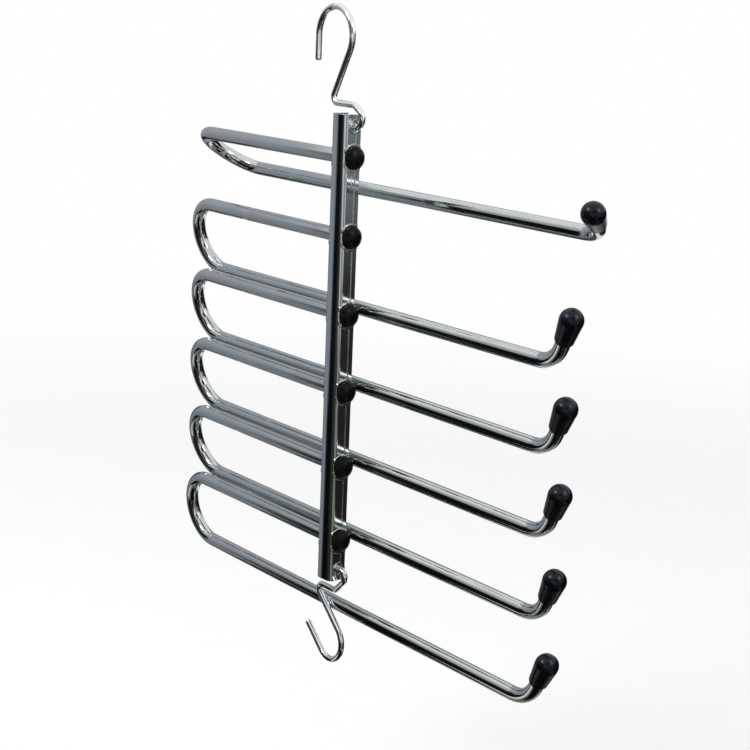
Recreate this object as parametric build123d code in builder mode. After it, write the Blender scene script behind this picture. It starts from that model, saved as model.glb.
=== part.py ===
"""Six-arm swing trouser hanger: bent tube arms on a channel column with a folding hook at each end.

Lengths are in millimetres. The origin is the underside of the top hook's crest, where it sits on a
rail. +Z points up, +X along the arms towards their free tips, and +Y to the open back of the column.
"""

import os
from math import acos, asin, atan2, cos, degrees, hypot, pi, radians, sin, tan
from typing import NamedTuple

from build123d import *

os.makedirs("parts", exist_ok=True)

# Arms
ARM_COUNT = 6
ARM_PITCH = 49.0
TUBE_DIA = 9.0
TUBE_WALL = 0.8
LEG_SPACING = 47.0
UPPER_LEG_LENGTH = 155.0
TIP_CORNER_REACH = 184.5
TIP_TURN = 58.6
TIP_BEND_RADIUS = 24.8
TIP_STRAIGHT_LENGTH = 19.9
LIFTED_SWING = 57.6

# Necked end of an arm, which turns in the column
JOURNAL_DIA = 6.0
NECK_TAPER = 2.0
SHOULDER_ROUND = 0.6
JOURNAL_CLEARANCE = 0.08

# Black push-on covers
PIVOT_CAP_DIA = 14.0
PIVOT_CAP_HEIGHT = 4.6
PIVOT_CAP_RIM = 1.6
PIVOT_CAP_ROUND = 0.5
PIVOT_CAP_BORE_DEPTH = 3.2
TIP_BALL_DIA = 14.0
TIP_SLEEVE_DIA = 11.4
TIP_SLEEVE_LENGTH = 16.0
TIP_LIP_DIA = 10.0
TIP_LIP_HEIGHT = 1.2
TIP_LIP_BULGE = 0.25
CAP_CLEARANCE = 0.05

# Column, a folded steel channel
COLUMN_WIDTH = 14.5
COLUMN_DEPTH = 12.2
COLUMN_SHEET = 1.0
COLUMN_CORNER_RADIUS = 3.0
COLUMN_END_MARGIN = 7.5
PIVOT_BEHIND_FRONT = 7.6
HOOK_PIVOT_SPACING = 19.0

# Raised bead pressed along each flange and round each pivot
BEAD_HEIGHT = 0.45
BEAD_WIDTH = 1.3
BEAD_FROM_BACK = 3.0
ARM_RING_RADIUS = 7.95
HOOK_RING_RADIUS = 3.9
BEAD_FRONT_STOP = 0.9

# Hooks
WIRE_DIA = 4.0
WIRE_BRIDGE_RADIUS = 6.0
WIRE_NECK_RADIUS = 3.8
HEAD_DIA = 5.6
HEAD_THICKNESS = 1.6
HEAD_ROUND = 0.6
WIRE_END_ROUND = 1.2
HOOK_HOLE_CLEARANCE = 0.08

# Gaps between pieces that move on each other
SIDE_GAP = 0.3
REST_GAP = 0.3


class HookShape(NamedTuple):
    """The bent line of one hook, measured from its pivot and from the column's centre line."""

    curl_start: float
    curl_radius: float
    curl_turn: float
    bridge_height: float
    crest_offset: float
    crest_height: float
    crest_radius: float
    lean: float
    nose_heading: float
    nose_length: float


TOP_HOOK = HookShape(
    curl_start=9.2,
    curl_radius=5.2,
    curl_turn=150.0,
    bridge_height=13.1,
    crest_offset=16.0,
    crest_height=53.6,
    crest_radius=17.5,
    lean=61.5,
    nose_heading=270.0,
    nose_length=16.0,
)
BOTTOM_HOOK = HookShape(
    curl_start=9.5,
    curl_radius=4.4,
    curl_turn=137.0,
    bridge_height=15.4,
    crest_offset=0.0,
    crest_height=50.6,
    crest_radius=13.0,
    lean=42.5,
    nose_heading=222.0,
    nose_length=22.0,
)

# Radii
TUBE_RADIUS = TUBE_DIA / 2
WIRE_RADIUS = WIRE_DIA / 2
JOURNAL_RADIUS = JOURNAL_DIA / 2
PIVOT_CAP_RADIUS = PIVOT_CAP_DIA / 2

# Places
COLUMN_X = TOP_HOOK.crest_offset
TOP_HOOK_Z = -(TOP_HOOK.crest_height + TOP_HOOK.crest_radius - WIRE_RADIUS)
FIRST_ARM_Z = TOP_HOOK_Z - HOOK_PIVOT_SPACING
LAST_ARM_Z = FIRST_ARM_Z - (ARM_COUNT - 1) * ARM_PITCH
BOTTOM_HOOK_Z = LAST_ARM_Z - HOOK_PIVOT_SPACING
COLUMN_TOP_Z = TOP_HOOK_Z + COLUMN_END_MARGIN
COLUMN_BOTTOM_Z = BOTTOM_HOOK_Z - COLUMN_END_MARGIN
COLUMN_LENGTH = COLUMN_TOP_Z - COLUMN_BOTTOM_Z
COLUMN_FRONT_Y = -PIVOT_BEHIND_FRONT
COLUMN_BACK_Y = COLUMN_FRONT_Y + COLUMN_DEPTH
FLANGE_OUT = COLUMN_WIDTH / 2
ARM_HEIGHTS = [FIRST_ARM_Z - number * ARM_PITCH for number in range(ARM_COUNT)]

# Swings of the arms away from straight down. The first is lifted. A middle arm hangs until its lower
# leg lies on the pivot cap below, and the last one until it lies on the bottom hook's wire.
STOP_DISTANCE = PIVOT_CAP_RADIUS + TUBE_RADIUS + REST_GAP
STOP_COSINE = (ARM_PITCH**2 + LEG_SPACING**2 - STOP_DISTANCE**2) / (2 * ARM_PITCH * LEG_SPACING)
RESTING_SWING = degrees(acos(STOP_COSINE))
LAST_SWING = degrees(asin((WIRE_RADIUS + TUBE_RADIUS + REST_GAP) / LEG_SPACING))
ARM_SWINGS = [LIFTED_SWING] + [RESTING_SWING] * (ARM_COUNT - 2) + [LAST_SWING]


def arm_plane(number):
    """Plane of one arm: x runs along its legs, y points from the lower leg up to the pivot."""
    swing = radians(ARM_SWINGS[number])
    origin = (COLUMN_X, 0, ARM_HEIGHTS[number])
    return Plane(origin=origin, x_dir=(1, 0, 0), z_dir=(0, -cos(swing), -sin(swing)))


# Column: web in front, flanges at the sides, open at the back, drilled through for every pivot


def channel_section(grow):
    """Outside outline of the channel, thickened by grow at the front and the sides."""
    depth = COLUMN_DEPTH + grow
    with BuildSketch(Plane.XY.offset(COLUMN_BOTTOM_Z)) as section:
        with Locations((COLUMN_X, COLUMN_BACK_Y - depth / 2)):
            Rectangle(COLUMN_WIDTH + 2 * grow, depth)
        front = section.vertices().group_by(Axis.Y)[0]
        fillet(front, radius=COLUMN_CORNER_RADIUS + grow)
    return section.sketch


def build_beads():
    """Beads of both flanges: the skin just outside the channel, kept only where a bead runs."""
    side = Plane.YZ.offset(COLUMN_X)
    middle_z = (COLUMN_TOP_Z + COLUMN_BOTTOM_Z) / 2
    bead_y = COLUMN_BACK_Y - BEAD_FROM_BACK
    rings = [(height, ARM_RING_RADIUS) for height in ARM_HEIGHTS]
    rings += [(TOP_HOOK_Z, HOOK_RING_RADIUS), (BOTTOM_HOOK_Z, HOOK_RING_RADIUS)]
    stop_y = COLUMN_FRONT_Y + BEAD_FRONT_STOP
    with BuildPart() as beads:
        add(extrude(channel_section(BEAD_HEIGHT), amount=COLUMN_LENGTH, mode=Mode.PRIVATE))
        with BuildSketch(side) as lines:
            with Locations((bead_y, middle_z)):
                Rectangle(BEAD_WIDTH, COLUMN_LENGTH)
            for height, radius in rings:
                with Locations((0, height)):
                    Circle(radius + BEAD_WIDTH / 2)
            for height, radius in rings:
                with Locations((0, height)):
                    Circle(radius - BEAD_WIDTH / 2, mode=Mode.SUBTRACT)
            with Locations(((stop_y + COLUMN_BACK_Y) / 2, middle_z)):
                Rectangle(COLUMN_BACK_Y - stop_y, COLUMN_LENGTH, mode=Mode.INTERSECT)
        extrude(lines.sketch, amount=COLUMN_WIDTH, both=True, mode=Mode.INTERSECT)
    return beads.part


def build_column():
    """The channel with its beads and pivot holes."""
    inner_depth = COLUMN_DEPTH - COLUMN_SHEET
    with BuildPart() as column:
        add(extrude(channel_section(0), amount=COLUMN_LENGTH, mode=Mode.PRIVATE))
        add(build_beads())
        with BuildSketch(Plane.XY.offset(COLUMN_BOTTOM_Z)) as inside:
            with Locations((COLUMN_X, COLUMN_BACK_Y - inner_depth / 2)):
                Rectangle(COLUMN_WIDTH - 2 * COLUMN_SHEET, inner_depth)
            front = inside.vertices().group_by(Axis.Y)[0]
            fillet(front, radius=COLUMN_CORNER_RADIUS - COLUMN_SHEET)
        extrude(amount=COLUMN_LENGTH, mode=Mode.SUBTRACT)
        with BuildSketch(Plane.YZ.offset(COLUMN_X)):
            with Locations([(0, height) for height in ARM_HEIGHTS]):
                Circle(JOURNAL_RADIUS + JOURNAL_CLEARANCE)
            with Locations((0, TOP_HOOK_Z), (0, BOTTOM_HOOK_Z)):
                Circle(WIRE_RADIUS + HOOK_HOLE_CLEARANCE)
        extrude(amount=COLUMN_WIDTH, both=True, mode=Mode.SUBTRACT)
    return column.part


# Arm: one tube, necked down where it turns in the column, bent back under itself and up at the tip


def build_arm(plane):
    """One arm in its plane, from the end of the journal to the open end inside the tip cap."""
    shoulder = -(FLANGE_OUT + SIDE_GAP)
    neck = shoulder - NECK_TAPER
    journal_end = FLANGE_OUT + SIDE_GAP + PIVOT_CAP_BORE_DEPTH - CAP_CLEARANCE
    bend_x = -UPPER_LEG_LENGTH
    tangent = TIP_BEND_RADIUS * tan(radians(TIP_TURN) / 2)
    tip_start = TIP_CORNER_REACH - tangent
    with BuildPart() as arm:
        with BuildLine(plane) as route:
            Line((neck, 0), (bend_x, 0))
            CenterArc((bend_x, -LEG_SPACING / 2), LEG_SPACING / 2, 90, 180)
            Line((bend_x, -LEG_SPACING), (tip_start, -LEG_SPACING))
            CenterArc((tip_start, TIP_BEND_RADIUS - LEG_SPACING), TIP_BEND_RADIUS, -90, TIP_TURN)
            PolarLine(route.line @ 1, TIP_STRAIGHT_LENGTH, TIP_TURN)
        section_plane = Plane(origin=route.line @ 0, z_dir=route.line % 0)
        with BuildSketch(section_plane):
            Circle(TUBE_RADIUS)
            Circle(TUBE_RADIUS - TUBE_WALL, mode=Mode.SUBTRACT)
        sweep(path=route.line)
        with BuildSketch(plane) as necked:
            with BuildLine():
                Polyline(
                    (neck, TUBE_RADIUS - TUBE_WALL),
                    (neck, TUBE_RADIUS),
                    (shoulder - SHOULDER_ROUND, TUBE_RADIUS),
                )
                JernArc((shoulder - SHOULDER_ROUND, TUBE_RADIUS), (1, 0), SHOULDER_ROUND, -90)
                Polyline(
                    (shoulder, TUBE_RADIUS - SHOULDER_ROUND),
                    (shoulder, JOURNAL_RADIUS),
                    (journal_end, JOURNAL_RADIUS),
                    (journal_end, JOURNAL_RADIUS - TUBE_WALL),
                    (shoulder, JOURNAL_RADIUS - TUBE_WALL),
                    (neck, TUBE_RADIUS - TUBE_WALL),
                )
            make_face()
        revolve(axis=Axis(plane.origin, plane.x_dir))
    return arm.part


# Pivot cap: a black low dome pushed over the journal's end, which keeps the arm in the column


def build_pivot_cap(plane):
    """One pivot cap, turned about the journal's axis."""
    base = FLANGE_OUT + SIDE_GAP
    rim = base + PIVOT_CAP_RIM
    crown = base + PIVOT_CAP_HEIGHT
    dome_rise = PIVOT_CAP_HEIGHT - PIVOT_CAP_RIM
    dome_radius = (PIVOT_CAP_RADIUS**2 + dome_rise**2) / (2 * dome_rise)
    dome_x = crown - dome_radius
    half_height = asin(PIVOT_CAP_RADIUS / dome_radius) / 2
    bore = JOURNAL_RADIUS + CAP_CLEARANCE
    bore_end = base + PIVOT_CAP_BORE_DEPTH
    with BuildPart() as cap:
        with BuildSketch(plane):
            with BuildLine():
                Polyline(
                    (bore_end, 0),
                    (bore_end, bore),
                    (base, bore),
                    (base, PIVOT_CAP_RADIUS - PIVOT_CAP_ROUND),
                )
                Line((base, PIVOT_CAP_RADIUS - PIVOT_CAP_ROUND), (base + PIVOT_CAP_ROUND, PIVOT_CAP_RADIUS))
                Line((base + PIVOT_CAP_ROUND, PIVOT_CAP_RADIUS), (rim, PIVOT_CAP_RADIUS))
                ThreePointArc(
                    (rim, PIVOT_CAP_RADIUS),
                    (dome_x + dome_radius * cos(half_height), dome_radius * sin(half_height)),
                    (crown, 0),
                )
                Line((crown, 0), (bore_end, 0))
            make_face()
        revolve(axis=Axis(plane.origin, plane.x_dir))
    return cap.part


# Tip cap: a black boot over the upturned end of the arm, a sleeve that widens straight into a ball


def build_tip_cap(plane):
    """One tip cap, turned about the upturned end's axis."""
    turn = radians(TIP_TURN)
    tangent = TIP_BEND_RADIUS * tan(turn / 2)
    run = tangent + TIP_STRAIGHT_LENGTH
    end_x = TIP_CORNER_REACH + run * cos(turn)
    end_y = run * sin(turn) - LEG_SPACING
    end = plane.from_local_coords((end_x, end_y, 0))
    along = plane.from_local_coords((end_x + cos(turn), end_y + sin(turn), 0)) - end
    tip = Plane(origin=end, x_dir=along, z_dir=plane.z_dir)
    ball = TIP_BALL_DIA / 2
    sleeve = TIP_SLEEVE_DIA / 2
    bore = TUBE_RADIUS + CAP_CLEARANCE
    ball_x = CAP_CLEARANCE
    base = ball_x - TIP_SLEEVE_LENGTH
    sleeve_x = base + TIP_LIP_HEIGHT
    join_angle = atan2(sleeve, ball_x - sleeve_x) + acos(ball / hypot(ball_x - sleeve_x, sleeve))
    join = (ball_x - ball * cos(join_angle), ball * sin(join_angle))
    mid_angle = (pi - join_angle) / 2
    with BuildPart() as cap:
        with BuildSketch(tip):
            with BuildLine():
                Polyline(
                    (CAP_CLEARANCE, 0),
                    (CAP_CLEARANCE, bore),
                    (base, bore),
                    (base, TIP_LIP_DIA / 2),
                )
                lip = SagittaArc((base, TIP_LIP_DIA / 2), (sleeve_x, sleeve), -TIP_LIP_BULGE)
                Line(lip @ 1, join)
                ThreePointArc(
                    join,
                    (ball_x + ball * cos(mid_angle), ball * sin(mid_angle)),
                    (ball_x + ball, 0),
                )
                Line((ball_x + ball, 0), (CAP_CLEARANCE, 0))
            make_face()
        revolve(axis=Axis(tip.origin, tip.x_dir))
    return cap.part


# Hook: one wire through both flanges with a peened head, curled back over the column and up to its crest


def build_hook(shape, height, up):
    """One hook, with up 1 for the top hook and -1 for the bottom one, its mirror image."""
    pivot = Plane(origin=(COLUMN_X, 0, height), x_dir=(1, 0, 0), z_dir=(0, -up, 0))
    head_face = -(FLANGE_OUT + SIDE_GAP)
    turn = radians(shape.curl_turn)
    curl_end = (
        shape.curl_start + shape.curl_radius * sin(turn),
        shape.curl_radius - shape.curl_radius * cos(turn),
    )
    bridge_x = curl_end[0] + (shape.bridge_height - curl_end[1]) / tan(turn)
    lean = radians(shape.lean)
    centre = (-shape.crest_offset, shape.crest_height)
    meet_x = centre[0] + shape.crest_radius * sin(lean)
    meet_y = centre[1] - shape.crest_radius * cos(lean)
    neck_x = meet_x - (meet_y - shape.bridge_height) / tan(lean)
    sweep_angle = shape.nose_heading - shape.lean
    with BuildPart() as hook:
        with BuildLine(pivot) as route:
            Line((head_face, 0), (shape.curl_start, 0))
            CenterArc((shape.curl_start, shape.curl_radius), shape.curl_radius, -90, shape.curl_turn)
            FilletPolyline(
                curl_end,
                (bridge_x, shape.bridge_height),
                (neck_x, shape.bridge_height),
                (meet_x, meet_y),
                radius=(WIRE_BRIDGE_RADIUS, WIRE_NECK_RADIUS),
            )
            CenterArc(centre, shape.crest_radius, shape.lean - 90, sweep_angle)
            PolarLine(route.line @ 1, shape.nose_length, shape.nose_heading)
        section_plane = Plane(origin=route.line @ 0, z_dir=route.line % 0)
        with BuildSketch(section_plane):
            Circle(WIRE_RADIUS)
        sweep(path=route.line)
        nose_end = hook.faces().sort_by_distance(route.line @ 1)[0]
        fillet(nose_end.edges(), radius=WIRE_END_ROUND)
        head_plane = section_plane.offset(-HEAD_THICKNESS)
        with BuildSketch(head_plane):
            Circle(HEAD_DIA / 2)
        extrude(amount=HEAD_THICKNESS)
        head_end = hook.faces().sort_by_distance(head_plane.origin)[0]
        fillet(head_end.edges(), radius=HEAD_ROUND)
    return hook.part


def save(piece, name):
    """Label one finished piece and write it to its own file."""
    piece.label = name
    export_step(piece, f"parts/{name}.step")


save(build_column(), "column")
for arm_number in range(ARM_COUNT):
    arm_frame = arm_plane(arm_number)
    save(build_arm(arm_frame), f"arm_{arm_number + 1}")
    save(build_pivot_cap(arm_frame), f"pivot_cap_{arm_number + 1}")
    save(build_tip_cap(arm_frame), f"tip_cap_{arm_number + 1}")
save(build_hook(TOP_HOOK, TOP_HOOK_Z, 1), "top_hook")
save(build_hook(BOTTOM_HOOK, BOTTOM_HOOK_Z, -1), "bottom_hook")
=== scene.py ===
import math

import bpy
from mathutils import Matrix, Vector


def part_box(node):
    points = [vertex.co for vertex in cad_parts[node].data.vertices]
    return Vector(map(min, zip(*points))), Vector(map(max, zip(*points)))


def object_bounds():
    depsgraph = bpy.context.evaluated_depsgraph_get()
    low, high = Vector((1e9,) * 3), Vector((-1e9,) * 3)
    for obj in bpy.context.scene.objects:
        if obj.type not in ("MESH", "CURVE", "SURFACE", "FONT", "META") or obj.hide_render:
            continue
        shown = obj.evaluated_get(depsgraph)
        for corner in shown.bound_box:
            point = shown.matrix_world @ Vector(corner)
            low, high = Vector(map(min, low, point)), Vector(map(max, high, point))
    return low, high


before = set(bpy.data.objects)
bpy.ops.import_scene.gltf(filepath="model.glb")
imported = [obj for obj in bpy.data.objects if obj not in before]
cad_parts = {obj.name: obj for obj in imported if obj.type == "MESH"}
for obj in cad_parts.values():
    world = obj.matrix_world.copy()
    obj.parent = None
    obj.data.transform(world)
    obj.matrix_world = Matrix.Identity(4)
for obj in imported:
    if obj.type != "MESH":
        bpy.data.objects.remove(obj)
cad_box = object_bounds()

# Column: a strip of mild steel, folded to a channel with a bead pressed along each flange and round
# each pivot, then polished and chromed. The plate mirrors like glass, with a faint waver from the
# fold and the polishing wheel, and the web is very slightly domed across its width.

MM = 0.001
CHANNEL_CHROME_HEX = ("C9CDCF", "B7BDC1")
CHANNEL_WAVER = 22 * MM
CHANNEL_ROUGHNESS = (0.05, 0.12)
BEAD_ROUND = 0.55 * MM
WEB_DOME_RADIUS = 36 * MM

# The wheel's marks along the column are only some hundredths of a millimetre wide. They are drawn
# far coarser here, because they wouldn't show otherwise.
CHANNEL_POLISH_MARKS = (1.2 * MM, 1.2 * MM, 60 * MM)

# All the chrome has the same depth of waver and marks. NOISE_RANGE holds most of what a noise gives.
WAVER_DETAIL = 1.5
WAVER_STRENGTH = 0.25
WAVER_HEIGHT = 0.12 * MM
MARK_DETAIL = 3.0
MARK_STRENGTH = 0.12
MARK_HEIGHT = 0.01 * MM
EDGE_SAMPLES = 6
NOISE_RANGE = (0.35, 0.65)

# A Mix node has several sockets of one name, so the ones for colour go by their numbers.
COLOUR_A = 6
COLOUR_B = 7
MIXED_COLOUR = 2


def linear(hex_colour):
    """An sRGB hex colour as linear red, green, blue and alpha."""
    channels = [int(hex_colour[i:i + 2], 16) / 255 for i in (0, 2, 4)]
    shades = [c / 12.92 if c <= 0.04045 else ((c + 0.055) / 1.055) ** 2.4 for c in channels]
    return (*shades, 1.0)


def node(tree, kind, settings=None, links=None):
    """Adds a node, sets its properties and sockets, and links its input sockets to given outputs."""
    made = tree.nodes.new(kind)
    for name, value in (settings or {}).items():
        if isinstance(name, int) or name in made.inputs:
            made.inputs[name].default_value = value
        else:
            setattr(made, name, value)
    for name, source in (links or {}).items():
        tree.links.new(source, made.inputs[name])
    return made


def new_material(name):
    """An empty node material and its tree."""
    material = bpy.data.materials.new(name)
    material.use_nodes = True
    material.node_tree.nodes.clear()
    return material, material.node_tree


def chrome_plate(name, hexes, waver, marks, roughness, edge_round, dome=None):
    """Bright chrome over polished steel, whose tone drifts between the two hexes. Waver is the length
    of the mirror's slow waves, marks the size of the faint lines of polishing or drawing along each
    axis and edge_round how far pressed edges look rounded, all in metres. Roughness is its range, and
    dome the middle of a slightly domed face along X and its radius."""
    material, tree = new_material(name)
    place = node(tree, "ShaderNodeTexCoord").outputs["Object"]
    slow = node(tree, "ShaderNodeTexNoise", {"Scale": 1 / waver, "Detail": WAVER_DETAIL},
                {"Vector": place})
    stretched = node(tree, "ShaderNodeMapping", {"Scale": [1 / length for length in marks]},
                     {"Vector": place})
    lines = node(tree, "ShaderNodeTexNoise", {"Scale": 1.0, "Detail": MARK_DETAIL},
                 {"Vector": stretched.outputs[0]})
    rough = node(tree, "ShaderNodeMapRange",
                 {"From Min": NOISE_RANGE[0], "From Max": NOISE_RANGE[1],
                  "To Min": roughness[0], "To Max": roughness[1]},
                 {"Value": lines.outputs[0]})
    tint = node(tree, "ShaderNodeMix",
                {"data_type": "RGBA", COLOUR_A: linear(hexes[0]), COLOUR_B: linear(hexes[1])},
                {"Factor": slow.outputs[0]})
    normal = node(tree, "ShaderNodeBevel", {"samples": EDGE_SAMPLES, "Radius": edge_round}).outputs[0]
    if dome:
        # A dome falls by the distance from its middle, squared, over twice its radius
        middle, radius = dome
        across = node(tree, "ShaderNodeSeparateXYZ", links={0: place})
        distance = node(tree, "ShaderNodeMath", {"operation": "SUBTRACT", 1: middle},
                        {0: across.outputs["X"]})
        square = node(tree, "ShaderNodeMath", {"operation": "POWER", 1: 2.0},
                      {0: distance.outputs[0]})
        domed = node(tree, "ShaderNodeBump",
                     {"invert": True, "Strength": 1.0, "Distance": 1 / (2 * radius)},
                     {"Height": square.outputs[0], "Normal": normal})
        normal = domed.outputs[0]
    wavy = node(tree, "ShaderNodeBump", {"Strength": WAVER_STRENGTH, "Distance": WAVER_HEIGHT},
                {"Height": slow.outputs[0], "Normal": normal})
    marked = node(tree, "ShaderNodeBump", {"Strength": MARK_STRENGTH, "Distance": MARK_HEIGHT},
                  {"Height": lines.outputs[0], "Normal": wavy.outputs[0]})
    shader = node(tree, "ShaderNodeBsdfPrincipled", {"Metallic": 1.0},
                  {"Base Color": tint.outputs[MIXED_COLOUR], "Roughness": rough.outputs[0],
                   "Normal": marked.outputs[0]})
    node(tree, "ShaderNodeOutputMaterial", links={"Surface": shader.outputs[0]})
    return material


def coat(piece, material):
    """Puts a material in every slot of one CAD node."""
    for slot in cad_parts[piece].material_slots:
        slot.material = material


column_low, column_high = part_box("column")
web_middle = (column_low.x + column_high.x) / 2
coat("column", chrome_plate("chromed_channel_steel", CHANNEL_CHROME_HEX, CHANNEL_WAVER,
                            CHANNEL_POLISH_MARKS, CHANNEL_ROUGHNESS, BEAD_ROUND,
                            (web_middle, WEB_DOME_RADIUS)))

# Arms: six pieces of welded steel tube, 9 mm across, necked at the pivot end, bent round a former and
# chromed after bending. Drawing leaves very fine lines along the tube, which soften the mirror. They
# too are drawn far coarser than they are, so that they show.

ARM_COUNT = 6
TUBE_CHROME_HEX = ("D0D4D3", "BCC2C4")
TUBE_WAVER = 16 * MM
TUBE_DRAWN_LINES = (50 * MM, 0.9 * MM, 0.9 * MM)
TUBE_ROUGHNESS = (0.06, 0.13)
TUBE_EDGE_ROUND = 0.2 * MM

tube_chrome = chrome_plate("chromed_drawn_tube", TUBE_CHROME_HEX, TUBE_WAVER, TUBE_DRAWN_LINES,
                           TUBE_ROUGHNESS, TUBE_EDGE_ROUND)
for number in range(1, ARM_COUNT + 1):
    coat(f"arm_{number}", tube_chrome)

# Pivot caps: low domes of black polyethylene, moulded and pressed over the ends of the arms. The
# mould leaves a satin gloss with a very fine grain, which is drawn coarser so that it shows, and
# which breaks the highlights up a little.

PIVOT_CAP_HEX = ("050506", "0D0D0F")
PIVOT_CAP_GRAIN = 1.1 * MM
PIVOT_CAP_GRAIN_DEPTH = 0.03 * MM
PIVOT_CAP_ROUGHNESS = (0.24, 0.36)
PIVOT_CAP_GLOSS = 0.12
PIVOT_CAP_GLEAM_HEX = "F4F4F4"

# Both plastics have patches of slightly different gloss and tone, this many grains across.
PATCH_GRAINS = 4
GRAIN_DETAIL = 2.0
GRAIN_STRENGTH = 0.5
PLASTIC_IOR = 1.5


def black_plastic(name, hexes, grain, grain_depth, roughness, gloss, gleam_hex):
    """Black plastic with a soft skin, whose tone drifts between the two hexes. Grain is the size of
    its dimples and grain_depth their height, in metres, roughness its range, and gloss how strongly
    it mirrors straight on, where 0.5 is plain plastic. Gleam_hex tints its highlights."""
    material, tree = new_material(name)
    place = node(tree, "ShaderNodeTexCoord").outputs["Object"]
    patches = node(tree, "ShaderNodeTexNoise",
                   {"Scale": 1 / (PATCH_GRAINS * grain), "Detail": GRAIN_DETAIL}, {"Vector": place})
    dimples = node(tree, "ShaderNodeTexNoise", {"Scale": 1 / grain, "Detail": GRAIN_DETAIL},
                   {"Vector": place})
    tint = node(tree, "ShaderNodeMix",
                {"data_type": "RGBA", COLOUR_A: linear(hexes[0]), COLOUR_B: linear(hexes[1])},
                {"Factor": patches.outputs[0]})
    rough = node(tree, "ShaderNodeMapRange",
                 {"From Min": NOISE_RANGE[0], "From Max": NOISE_RANGE[1],
                  "To Min": roughness[0], "To Max": roughness[1]},
                 {"Value": patches.outputs[0]})
    skin = node(tree, "ShaderNodeBump", {"Strength": GRAIN_STRENGTH, "Distance": grain_depth},
                {"Height": dimples.outputs[0]})
    shader = node(tree, "ShaderNodeBsdfPrincipled",
                  {"IOR": PLASTIC_IOR, "Specular IOR Level": gloss, "Specular Tint": linear(gleam_hex)},
                  {"Base Color": tint.outputs[MIXED_COLOUR], "Roughness": rough.outputs[0],
                   "Normal": skin.outputs[0]})
    node(tree, "ShaderNodeOutputMaterial", links={"Surface": shader.outputs[0]})
    return material


satin_black = black_plastic("moulded_black_polyethylene", PIVOT_CAP_HEX, PIVOT_CAP_GRAIN,
                            PIVOT_CAP_GRAIN_DEPTH, PIVOT_CAP_ROUGHNESS, PIVOT_CAP_GLOSS,
                            PIVOT_CAP_GLEAM_HEX)
for number in range(1, ARM_COUNT + 1):
    coat(f"pivot_cap_{number}", satin_black)

# Tip caps: black boots of soft vinyl, dip-moulded and pulled over the upturned ends so that trousers
# slide on without catching. The dipped skin is glossy, a little uneven, and its colour deep black,
# with a cool gleam.

TIP_CAP_HEX = ("040405", "09090B")
TIP_CAP_GRAIN = 2.4 * MM
TIP_CAP_GRAIN_DEPTH = 0.08 * MM
TIP_CAP_ROUGHNESS = (0.20, 0.30)
TIP_CAP_GLOSS = 0.38
TIP_CAP_GLEAM_HEX = "CCDCF2"

gloss_black = black_plastic("dipped_black_vinyl", TIP_CAP_HEX, TIP_CAP_GRAIN, TIP_CAP_GRAIN_DEPTH,
                            TIP_CAP_ROUGHNESS, TIP_CAP_GLOSS, TIP_CAP_GLEAM_HEX)
for number in range(1, ARM_COUNT + 1):
    coat(f"tip_cap_{number}", gloss_black)

# Hooks: steel wire, 4 mm thick, bent on a jig, put through the column's ends, peened over at one side
# and chromed. The wire's plate is smoother and brighter than the tube's, and its polishing marks too
# are drawn coarser than they are.

WIRE_CHROME_HEX = ("EEF1F2", "DCE1E3")
WIRE_WAVER = 10 * MM
WIRE_POLISH_MARKS = (1.0 * MM, 1.0 * MM, 12 * MM)
WIRE_ROUGHNESS = (0.05, 0.11)
WIRE_EDGE_ROUND = 0.3 * MM

wire_chrome = chrome_plate("chromed_hook_wire", WIRE_CHROME_HEX, WIRE_WAVER, WIRE_POLISH_MARKS,
                           WIRE_ROUGHNESS, WIRE_EDGE_ROUND)
coat("top_hook", wire_chrome)
coat("bottom_hook", wire_chrome)

# Floor: a pale matt studio floor well below the hanging part, with a faint mottle of paint. Around
# the part it is a plain surface, so it keeps the soft shadow, and far out it fades to the background.
# Sizes and places of the studio are in metres.

FLOOR_SIZE = 60.0
FLOOR_DROP = 0.16
FLOOR_HEX = ("F8F8F8", "FBFBFB")
FLOOR_MOTTLE = 30 * MM
FLOOR_MOTTLE_DETAIL = 3.0
FLOOR_ROUGHNESS = 0.9
FLOOR_GLOSS = 0.1
FADE_START = 0.9
FADE_END = 2.2
WHITE_HEX = "FFFFFF"


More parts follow.
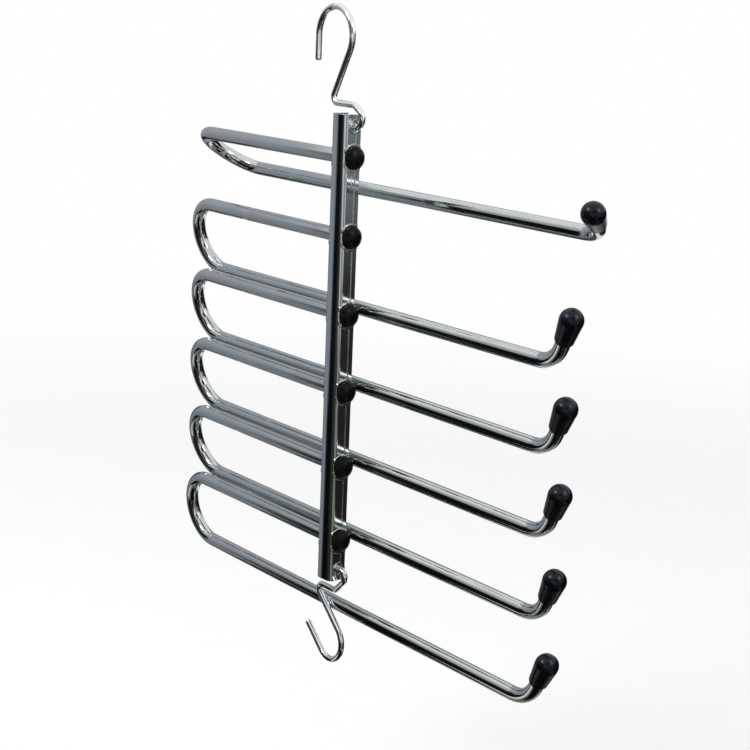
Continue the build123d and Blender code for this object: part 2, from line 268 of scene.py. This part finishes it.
def build_floor():
    """The floor, a stage piece, one square far larger than the view. Shiny surfaces don't see it:
    they mirror the cards and the background instead."""
    half = FLOOR_SIZE / 2
    level = cad_box[0][2] - FLOOR_DROP
    corners = [(-half, -half, level), (half, -half, level), (half, half, level), (-half, half, level)]
    mesh = bpy.data.meshes.new("studio_floor")
    mesh.from_pydata(corners, [], [(0, 1, 2, 3)])
    floor = bpy.data.objects.new("studio_floor", mesh)
    bpy.context.scene.collection.objects.link(floor)
    material, tree = new_material("pale_matt_paint")
    place = node(tree, "ShaderNodeTexCoord").outputs["Object"]
    mottle = node(tree, "ShaderNodeTexNoise",
                  {"Scale": 1 / FLOOR_MOTTLE, "Detail": FLOOR_MOTTLE_DETAIL}, {"Vector": place})
    tint = node(tree, "ShaderNodeMix",
                {"data_type": "RGBA", COLOUR_A: linear(FLOOR_HEX[0]), COLOUR_B: linear(FLOOR_HEX[1])},
                {"Factor": mottle.outputs[0]})
    paint = node(tree, "ShaderNodeBsdfPrincipled",
                 {"Roughness": FLOOR_ROUGHNESS, "Specular IOR Level": FLOOR_GLOSS},
                 {"Base Color": tint.outputs[MIXED_COLOUR]})
    white = node(tree, "ShaderNodeEmission", {"Color": linear(WHITE_HEX), "Strength": 1.0})
    away = node(tree, "ShaderNodeVectorMath", {"operation": "LENGTH"}, {0: place})
    fade = node(tree, "ShaderNodeMapRange",
                {"From Min": FADE_START, "From Max": FADE_END, "interpolation_type": "SMOOTHSTEP"},
                {"Value": away.outputs["Value"]})
    path = node(tree, "ShaderNodeLightPath")
    seen = node(tree, "ShaderNodeMath", {"operation": "MAXIMUM"},
                {0: path.outputs["Is Camera Ray"], 1: path.outputs["Is Glossy Ray"]})
    factor = node(tree, "ShaderNodeMath", {"operation": "MULTIPLY"},
                  {0: fade.outputs[0], 1: seen.outputs[0]})
    mixed = node(tree, "ShaderNodeMixShader",
                 links={0: factor.outputs[0], 1: paint.outputs[0], 2: white.outputs[0]})
    node(tree, "ShaderNodeOutputMaterial", links={"Surface": mixed.outputs[0]})
    mesh.materials.append(material)
    floor.visible_glossy = False


build_floor()

# Studio background: white all round. The camera and anything shiny see it at full white, while its
# soft fill on matt surfaces is a little weaker, so the lamps still model the shapes.

FILL_STRENGTH = 0.82


def build_background():
    """The white studio background."""
    world = bpy.data.worlds.new("white_studio")
    world.use_nodes = True
    tree = world.node_tree
    tree.nodes.clear()
    path = node(tree, "ShaderNodeLightPath")
    glossy = node(tree, "ShaderNodeMath", {"operation": "MAXIMUM"},
                  {0: path.outputs["Is Glossy Ray"], 1: path.outputs["Is Transmission Ray"]})
    seen = node(tree, "ShaderNodeMath", {"operation": "MAXIMUM"},
                {0: path.outputs["Is Camera Ray"], 1: glossy.outputs[0]})
    fill = node(tree, "ShaderNodeBackground", {"Color": linear(WHITE_HEX), "Strength": FILL_STRENGTH})
    shown = node(tree, "ShaderNodeBackground", {"Color": linear(WHITE_HEX), "Strength": 1.0})
    mixed = node(tree, "ShaderNodeMixShader",
                 links={0: seen.outputs[0], 1: fill.outputs[0], 2: shown.outputs[0]})
    node(tree, "ShaderNodeOutputWorld", links={"Surface": mixed.outputs[0]})
    bpy.context.scene.world = world


build_background()

# Lamps: two softboxes, a large one high on the camera's left and a smaller one at the right. They
# lay the soft shadow on the floor and the highlights on the black caps.

# Name, place, width, height and power in watts. Both are turned to about the hanger's middle.
LAMPS = (
    ("key_softbox", (-0.25, -1.60, 1.15), 0.7, 0.7, 17.0),
    ("side_softbox", (1.50, 0.35, 0.90), 0.5, 0.8, 6.0),
)
MIDDLE = Vector((0.03, 0.0, -0.22))


def facing(place, target):
    """The matrix of something that stands at place with its -Z side, where a lamp shines, turned to
    target and its Y side up."""
    away = (Vector(place) - target).normalized()
    side = Vector((0, 0, 1)).cross(away).normalized()
    axes = Matrix((side, away.cross(side), away)).transposed().to_4x4()
    return Matrix.Translation(place) @ axes


for name, place, width, height, power in LAMPS:
    lamp = bpy.data.lights.new(name, "AREA")
    lamp.shape = "RECTANGLE"
    lamp.size = width
    lamp.size_y = height
    lamp.energy = power
    softbox = bpy.data.objects.new(name, lamp)
    softbox.matrix_world = facing(place, MIDDLE)
    bpy.context.scene.collection.objects.link(softbox)

# Reflection cards: glowing grey and black sheets that paint the chrome's grey reflections and dark
# lines in a white studio. Only shiny surfaces see them, so they are painted reflections that light
# nothing else. Each glows in its own tone, painted lighter or darker from head to foot, and its edge is
# soft.

ACROSS = "across"
UNDER_AIM = Vector((0.10, 0.0, -0.22))

# Name, place, what it is turned to (ACROSS is straight along X), width, height, shape, the share of
# its half size over which it fades out, and its tones at head and foot. The first nine stand on the
# left, where the column's web and the hairpin bends mirror them.
CARDS = (
    ("left_grey_disc", (-1.10, 0.00, -0.20), ACROSS, 1.72, 1.90, "round", 0.06, "C0C3C9", "7C8186"),
    ("left_grey_band", (-1.12, -0.78, -0.72), ACROSS, 0.52, 0.84, "square", 0.12, "84888B", "63676A"),
    ("low_web_flag", (-1.07, -1.10, -0.87), ACROSS, 0.96, 0.74, "square", 0.30, "0C1214", "060A0B"),
    ("left_dark_core", (-0.50, 0.05, -0.35), ACROSS, 0.20, 0.42, "round", 0.40, "161718", "161718"),
    ("front_left_flag", (-1.08, -1.28, -0.55), ACROSS, 1.16, 1.56, "square", 0.30, "141C1F", "060A0B"),
    ("front_left_upper", (-1.13, -1.30, 0.60), ACROSS, 1.24, 1.00, "square", 0.20, "E8E8E8", "A6A6A2"),
    ("low_left_flag", (-1.14, -0.45, -1.38), ACROSS, 0.80, 0.72, "square", 0.10, "07090A", "07090A"),
    ("low_back_card", (-1.14, 0.60, -1.20), ACROSS, 1.50, 0.72, "square", 0.20, "565A5C", "3A3D3F"),
    ("back_left_card", (-1.14, 1.16, 0.02), ACROSS, 1.08, 1.16, "square", 0.20, "B0B0AE", "7C7C7A"),
    ("back_dark_flag", (0.25, 1.30, -0.35), MIDDLE, 1.60, 1.10, "square", 0.20, "1E1917", "1E1917"),
    ("right_grey_card", (1.30, 1.00, -0.20), MIDDLE, 1.24, 1.00, "square", 0.20, "8B9093", "7E8386"),
    ("right_dark_flag", (1.10, 0.85, -0.80), MIDDLE, 1.10, 1.16, "square", 0.34, "3A3531", "080707"),
    ("side_grey_card", (1.40, -0.30, -0.52), MIDDLE, 1.16, 1.32, "square", 0.12, "C2C2BE", "6E6E66"),
    ("front_dark_flag", (-0.10, -1.35, -0.64), MIDDLE, 1.80, 1.32, "square", 0.12, "3C3730", "0C0B0A"),
    ("back_low_flag", (0.30, 1.10, -1.15), MIDDLE, 1.70, 0.84, "square", 0.20, "26241F", "161512"),
    ("upper_side_card", (1.25, -0.75, 0.46), MIDDLE, 1.10, 0.76, "square", 0.35, "56564A", "3E3E34"),
    ("front_olive_card", (-0.05, -1.42, 0.36), MIDDLE, 1.84, 0.88, "square", 0.25, "5C5C50", "3E3E36"),
    ("camera_side_flag", (1.10, -0.86, -0.86), MIDDLE, 0.92, 0.88, "square", 0.25, "26261F", "0E0E0C"),
    ("right_gap_flag", (1.32, 0.36, -0.86), MIDDLE, 0.44, 0.88, "square", 0.25, "26241F", "0C0A09"),
    ("near_low_flag", (0.62, -1.20, -0.66), MIDDLE, 1.12, 1.24, "square", 0.55, "5C5C56", "0A0A0A"),
    ("under_grey_card", (0.20, -0.25, -1.80), MIDDLE, 3.20, 3.20, "square", 0.15, "84847A", "84847A"),
    ("under_flag", (0.40, -0.30, -1.40), UNDER_AIM, 1.80, 1.60, "square", 0.30, "0C0C0C", "0C0C0C"),
)


def build_card(name, place, aim, width, height, shape, soft, head_hex, foot_hex):
    """One card, a stage piece that glows with a painted reflection, hidden from all but shiny surfaces.
    """
    half_width = width / 2
    half_height = height / 2
    corners = [(-half_width, -half_height, 0), (half_width, -half_height, 0),
               (half_width, half_height, 0), (-half_width, half_height, 0)]
    mesh = bpy.data.meshes.new(name)
    mesh.from_pydata(corners, [], [(0, 1, 2, 3)])
    card = bpy.data.objects.new(name, mesh)
    target = Vector((0, place[1], place[2])) if aim == ACROSS else aim
    card.matrix_world = facing(place, target)
    bpy.context.scene.collection.objects.link(card)
    material, tree = new_material(name + "_cloth")
    sheet_place = node(tree, "ShaderNodeTexCoord").outputs["Object"]
    unit = node(tree, "ShaderNodeMapping", {"Scale": (1 / half_width, 1 / half_height, 1)},
                {"Vector": sheet_place})
    parts = node(tree, "ShaderNodeSeparateXYZ", links={0: unit.outputs[0]})
    if shape == "round":
        away = node(tree, "ShaderNodeVectorMath", {"operation": "LENGTH"}, {0: unit.outputs[0]})
        reach = away.outputs["Value"]
    else:
        flat = node(tree, "ShaderNodeVectorMath", {"operation": "ABSOLUTE"}, {0: unit.outputs[0]})
        sides = node(tree, "ShaderNodeSeparateXYZ", links={0: flat.outputs[0]})
        reach = node(tree, "ShaderNodeMath", {"operation": "MAXIMUM"},
                     {0: sides.outputs["X"], 1: sides.outputs["Y"]}).outputs[0]
    edge = node(tree, "ShaderNodeMapRange",
                {"From Min": 1 - soft, "From Max": 1.0, "interpolation_type": "SMOOTHSTEP"},
                {"Value": reach})
    rise = node(tree, "ShaderNodeMapRange", {"From Min": -1.0, "From Max": 1.0},
                {"Value": parts.outputs["Y"]})
    # Painted light: the sheet's glow runs from its foot tone up to its head tone
    tone = node(tree, "ShaderNodeMix",
                {"data_type": "RGBA", COLOUR_A: linear(foot_hex), COLOUR_B: linear(head_hex)},
                {"Factor": rise.outputs[0]})
    painted_glow = node(tree, "ShaderNodeEmission", {"Strength": 1.0}, {"Color": tone.outputs[MIXED_COLOUR]})
    clear = node(tree, "ShaderNodeBsdfTransparent")
    mixed = node(tree, "ShaderNodeMixShader",
                 links={0: edge.outputs[0], 1: painted_glow.outputs[0], 2: clear.outputs[0]})
    node(tree, "ShaderNodeOutputMaterial", links={"Surface": mixed.outputs[0]})
    mesh.materials.append(material)
    card.visible_camera = False
    card.visible_diffuse = False
    card.visible_shadow = False
    card.visible_transmission = False


for card_values in CARDS:
    build_card(*card_values)

# Camera: the photograph's view, from the front and right. It stands about level with the top hook,
# looks down a little and leans by two degrees. It was solved from the edges of the arms, the column
# and the hooks. Angles are in degrees, its place in metres and its lens in millimetres.

CAMERA_AZIMUTH = 52.5
CAMERA_ELEVATION = 12.75
CAMERA_ROLL = 2.32
CAMERA_PLACE = (0.8885, -0.6409, 0.0204)
CAMERA_LENS = 84.4


def build_camera():
    """The photograph's camera."""
    data = bpy.data.cameras.new("photo_camera")
    data.lens = CAMERA_LENS
    camera = bpy.data.objects.new("photo_camera", data)
    bpy.context.scene.collection.objects.link(camera)
    azimuth, elevation, roll = (math.radians(v) for v in (CAMERA_AZIMUTH, CAMERA_ELEVATION, CAMERA_ROLL))
    forward = Vector((
        -math.sin(azimuth) * math.cos(elevation),
        math.cos(azimuth) * math.cos(elevation),
        -math.sin(elevation),
    ))
    level = Vector((math.cos(azimuth), math.sin(azimuth), 0))
    upright = level.cross(forward)
    right = math.cos(roll) * level + math.sin(roll) * upright
    up = math.cos(roll) * upright - math.sin(roll) * level
    axes = Matrix((right, up, -forward)).transposed().to_4x4()
    camera.matrix_world = Matrix.Translation(CAMERA_PLACE) @ axes
    bpy.context.scene.camera = camera


build_camera()
bpy.context.scene.view_settings.view_transform = "Standard"
